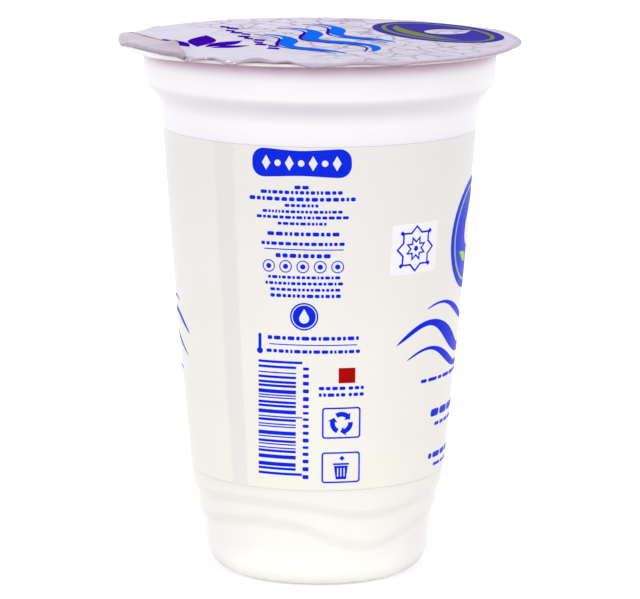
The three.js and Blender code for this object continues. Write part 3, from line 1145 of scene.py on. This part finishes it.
def add_label_print():
    chance = random.Random(PRINT_SEED)
    front = [pill()]
    for across, up, width, thick in FRONT_ROWS:
        front += dashes(chance, across, up, width, 1.15 * thick, word=1.5 * thick, gap=0.5 * thick)
    for across, up, width, thick in FRONT_RULES:
        front.append([box(across, up, width, thick)])
    first, pitch, up, radius, line = RING_ROW
    for i in range(RINGS):
        front.append(ring_shape(first + i * pitch, up, radius, line))
        front.append([disc(first + i * pitch, up, 0.5)])
    across, up, radius = BADGE
    front.append(ring_shape(across, up, radius, 0.3))
    front.append([disc(across, up, radius - 0.5), drop(across, up + 0.1, 1.9, 2.9)])
    front += thermometer()
    front += bar_block(chance)
    front += bar_marks(chance)
    for across, up in FRAMES:
        front += framed(across, up)
    front += cycle_arrows(*FRAMES[0])
    front += bin_marks(*FRAMES[1])
    sides = roundel_blue() + side_swashes() + side_rows(chance)
    layers = [
        (FRONT, front, 0),
        (PATCH, star_lines(0, PATCH_HEIGHT), 1),
        (RIGHT, sides, 0),
        (LEFT, sides, 0),
        (BACK, table_block(chance), 0),
    ]
    add_print("print_blue", layers, (2, 32, 220), (22, 52, 230), "label")
    red = [(FRONT, [[box(*RED_SQUARE)]], 0)]
    add_print("print_red", red, (168, 0, 4), (180, 6, 12), "label")
    green = [[loop] for loop in leaves()]
    green.append(ring_shape(0, ROUNDEL_HEIGHT, ROUNDEL_RADIUS - 1.5, 0.5))
    add_print("print_lime", [(RIGHT, green, 0), (LEFT, green, 0)], (160, 205, 52), (182, 222, 84), "label")
    patch = [[rounded_box(0, PATCH_HEIGHT, 11.4, 9.8, 0.5, 4)]]
    add_print("print_patch", [(PATCH, patch, 0)], (252, 252, 252), (248, 248, 250), "label")


# What is printed on the lid

# Wavy strokes across the lid: start, end, swing, waves, thickest
LID_STROKES = [
    ((-24, 9.5), (11, 8.5), 2.4, 1.25, 3.6),
    ((-20, 1.8), (22, 1.0), 3.0, 1.5, 5.0),
    ((-12, -7.0), (23, -8.5), 2.6, 1.25, 4.2),
]
STROKE_EDGE = 2.0
STROKE_LEAN = 0.03

# A row of small leaves: how many, and where the row starts and ends
PETALS = 12
PETAL_ROW = ((-26, -8.2), (10, -14.8))

# A fan of leaves near the tab: its root, the bare gap round it, and each leaf's heading, length and width
FAN_ROOT = (4.5, -28.5)
FAN_GAP = 3
FAN_LEAVES = [(92, 8.5, 3.4), (121, 13, 4.4), (150, 19, 5.4), (178, 14, 4.2)]

LID_BADGE = (-1, 26.3, 38, 21.4)
BADGE_LINE = 1.9
BADGE_GAP = 0.9


def lid_strokes(thickness, drop_by):
    """The strokes, or with a share of their thickness and set lower, the edge under each."""
    shapes = []
    for (left, first), (right, last), swing, waves, thickest in LID_STROKES:
        start = (left, first - drop_by)
        end = (right, last - drop_by)
        shapes.append([swash(start, end, swing, waves, thickest * thickness, STROKE_LEAN)])
    return shapes


def leaf(across, up, length, width, turn):
    """A leaf with pointed ends, turned by an angle."""
    heading = Vector((math.cos(math.radians(turn)), math.sin(math.radians(turn))))
    aside = Vector((-heading.y, heading.x))
    middle = Vector((across, up))
    edge = []
    for side in (1, -1):
        for share in steps(0, 1, 24)[:-1]:
            along = side * lerp(-0.5, 0.5, share) * length
            half = side * width / 2 * math.sin(math.pi * share) ** 1.15
            edge.append(tuple(middle + heading * along - aside * half))
    return [edge]


def lid_petals():
    """A row of small leaves on a gentle arc, and a fan of large leaves near the tab."""
    shapes = []
    for i in range(PETALS):
        across, up = [lerp(*ends, i / (PETALS - 1)) for ends in zip(*PETAL_ROW)]
        shapes.append([diamond(across, up + 0.9 * math.sin(2 * i), 4.0, 2.0 + 0.9 * (i % 2))])
    for heading, length, width in FAN_LEAVES:
        middle = spoke(*FAN_ROOT, FAN_GAP + length / 2, heading)
        shapes.append(leaf(*middle, length, width, heading))
    return shapes


def lid_oval(inset):
    across, up, width, height = LID_BADGE
    return oval(across, up, width - 2 * inset, height - 2 * inset, 2 * ROUND_STEPS)


def lid_crescent():
    """A crescent along the low side of the badge."""
    across, up, width, height = LID_BADGE
    lower = []
    upper = []
    for share in steps(0, 1, 40):
        angle = math.radians(lerp(196, 344, share))
        x = across + (width / 2 - 5) * math.cos(angle)
        y = up + (height / 2 - 4) * math.sin(angle)
        lower.append((x, y))
        upper.append((x, y + 2.8 * math.sin(math.pi * share) + 0.02))
    return lower + upper[::-1]


def lid_badge():
    """An oval in a ring, with a bare drop in it and a place for the crescent."""
    across, up = LID_BADGE[:2]
    ring = [lid_oval(0), lid_oval(BADGE_LINE)]
    return [ring, [lid_oval(BADGE_LINE + BADGE_GAP), drop(across, up + 2.6, 8.5, 10), lid_crescent()]]


def add_lid_print():
    add_print("lid_print_blue", [(lid_sheet, lid_strokes(1, 0), 0)], (10, 86, 208), (24, 106, 222), "lid")
    purple = [(lid_sheet, lid_petals(), 0), (lid_sheet, lid_strokes(0.16, STROKE_EDGE), 1)]
    add_print("lid_print_purple", purple, (46, 0, 146), (68, 14, 158), "lid")
    add_print("lid_print_violet", [(lid_sheet, lid_badge(), 0)], (52, 44, 140), (72, 64, 156), "lid")
    green = [[lid_crescent()], [lid_oval(BADGE_LINE), lid_oval(BADGE_LINE + BADGE_GAP)]]
    add_print("lid_print_green", [(lid_sheet, green, 0)], (104, 114, 52), (122, 132, 72), "lid")


# Stage: a pale floor, soft light and the camera

def stage_material(name, colour, glow):
    """A matt pale sheet, with a little light of its own so that shadows on it stay faint."""
    material, tree, place = new_material(name)
    cloud = noise(tree, place, 0.01, 2)
    paler = [channel + 2 for channel in colour]
    tone = ramp(tree, cloud, [(0.3, srgb(*colour)), (0.7, srgb(*paler))])
    white = (1, 1, 1, 1)
    return finished(material, base_color=tone, roughness=0.7, emission_strength=glow, emission_color=white)


def add_stage_piece(name, corners, depth, material):
    """A flat piece of the stage, a little below the part, that throws no shadow."""
    mesh = bpy.data.meshes.new(name)
    mesh.from_pydata(corners, [], [tuple(range(len(corners)))])
    mesh.materials.append(material)
    piece = bpy.data.objects.new(name, mesh)
    piece.location.z = -depth * MM
    piece.visible_shadow = False
    bpy.context.scene.collection.objects.link(piece)
    return piece


def add_floor():
    """A wide floor that is only looked at, and the card, which only lights the part."""
    size = FLOOR_HALF * MM
    corners = [(-size, -size, 0), (size, -size, 0), (size, size, 0), (-size, size, 0)]
    floor = add_stage_piece("floor", corners, FLOOR_DEPTH, stage_material("floor", (247, 247, 247), 0.3))
    floor.visible_diffuse = False
    round_corners = [point_at(360 * i / ROUND_STEPS, CARD_RADIUS, 0) for i in range(ROUND_STEPS)]
    card = add_stage_piece("card", round_corners, CARD_DEPTH, stage_material("card", (232, 230, 224), 0))
    card.location.y = -CARD_AHEAD * MM
    card.visible_camera = False
    card.visible_glossy = False


def add_lamp():
    lamp = bpy.data.lights.new("top", "AREA")
    lamp.shape = "DISK"
    lamp.size = LAMP_SIZE * MM
    lamp.energy = LAMP_POWER
    light = bpy.data.objects.new("top", lamp)
    light.location = LAMP_PLACE * MM
    light.rotation_euler = (LAMP_TARGET - LAMP_PLACE).to_track_quat("-Z", "Y").to_euler()
    bpy.context.scene.collection.objects.link(light)


def add_world():
    """A light tent: bright walls, brightest in front, with a dim roof and a rosy bounce from below."""
    world = bpy.data.worlds.new("studio")
    world.use_nodes = True
    tree = world.node_tree
    sky = tree.nodes["Background"]
    direction = tree.nodes.new("ShaderNodeTexCoord").outputs["Generated"]
    level = spread(tree, axis(tree, direction, "Z"), -1, 1, 0, 1)
    tent = ramp(tree, level, [
        (0.49, TENT_BOUNCE), (0.52, TENT_LOW_WALL), (0.65, TENT_LOW_WALL),
        (0.7, TENT_HIGH_WALL), (0.82, TENT_HIGH_WALL), (0.9, TENT_ROOF),
    ])
    tree.links.new(tent, sky.inputs["Color"])
    depth = spread(tree, axis(tree, direction, "Y"), -1, 1, TENT_FRONT, TENT_BACK)
    side = spread(tree, axis(tree, direction, "X"), -1, 1, TENT_LEFT, TENT_RIGHT)
    tree.links.new(product(tree, depth, side), sky.inputs["Strength"])
    bpy.context.scene.world = world


def add_camera():
    lens = bpy.data.cameras.new("camera")
    lens.sensor_width = SENSOR
    lens.lens = LENS
    lens.shift_x, lens.shift_y = LENS_SHIFT
    camera = bpy.data.objects.new("camera", lens)
    tilt = Matrix.Rotation(math.radians(90 - CAMERA_DOWN), 4, "X")
    roll = Matrix.Rotation(math.radians(CAMERA_ROLL), 4, "Z")
    camera.matrix_world = Matrix.Translation(CAMERA_PLACE * MM) @ tilt @ roll
    bpy.context.scene.collection.objects.link(camera)
    bpy.context.scene.camera = camera


add_cup()
add_label()
add_lid()
add_label_print()
add_lid_print()
add_floor()
add_world()
add_lamp()
add_camera()
bpy.context.scene.view_settings.view_transform = "Standard"
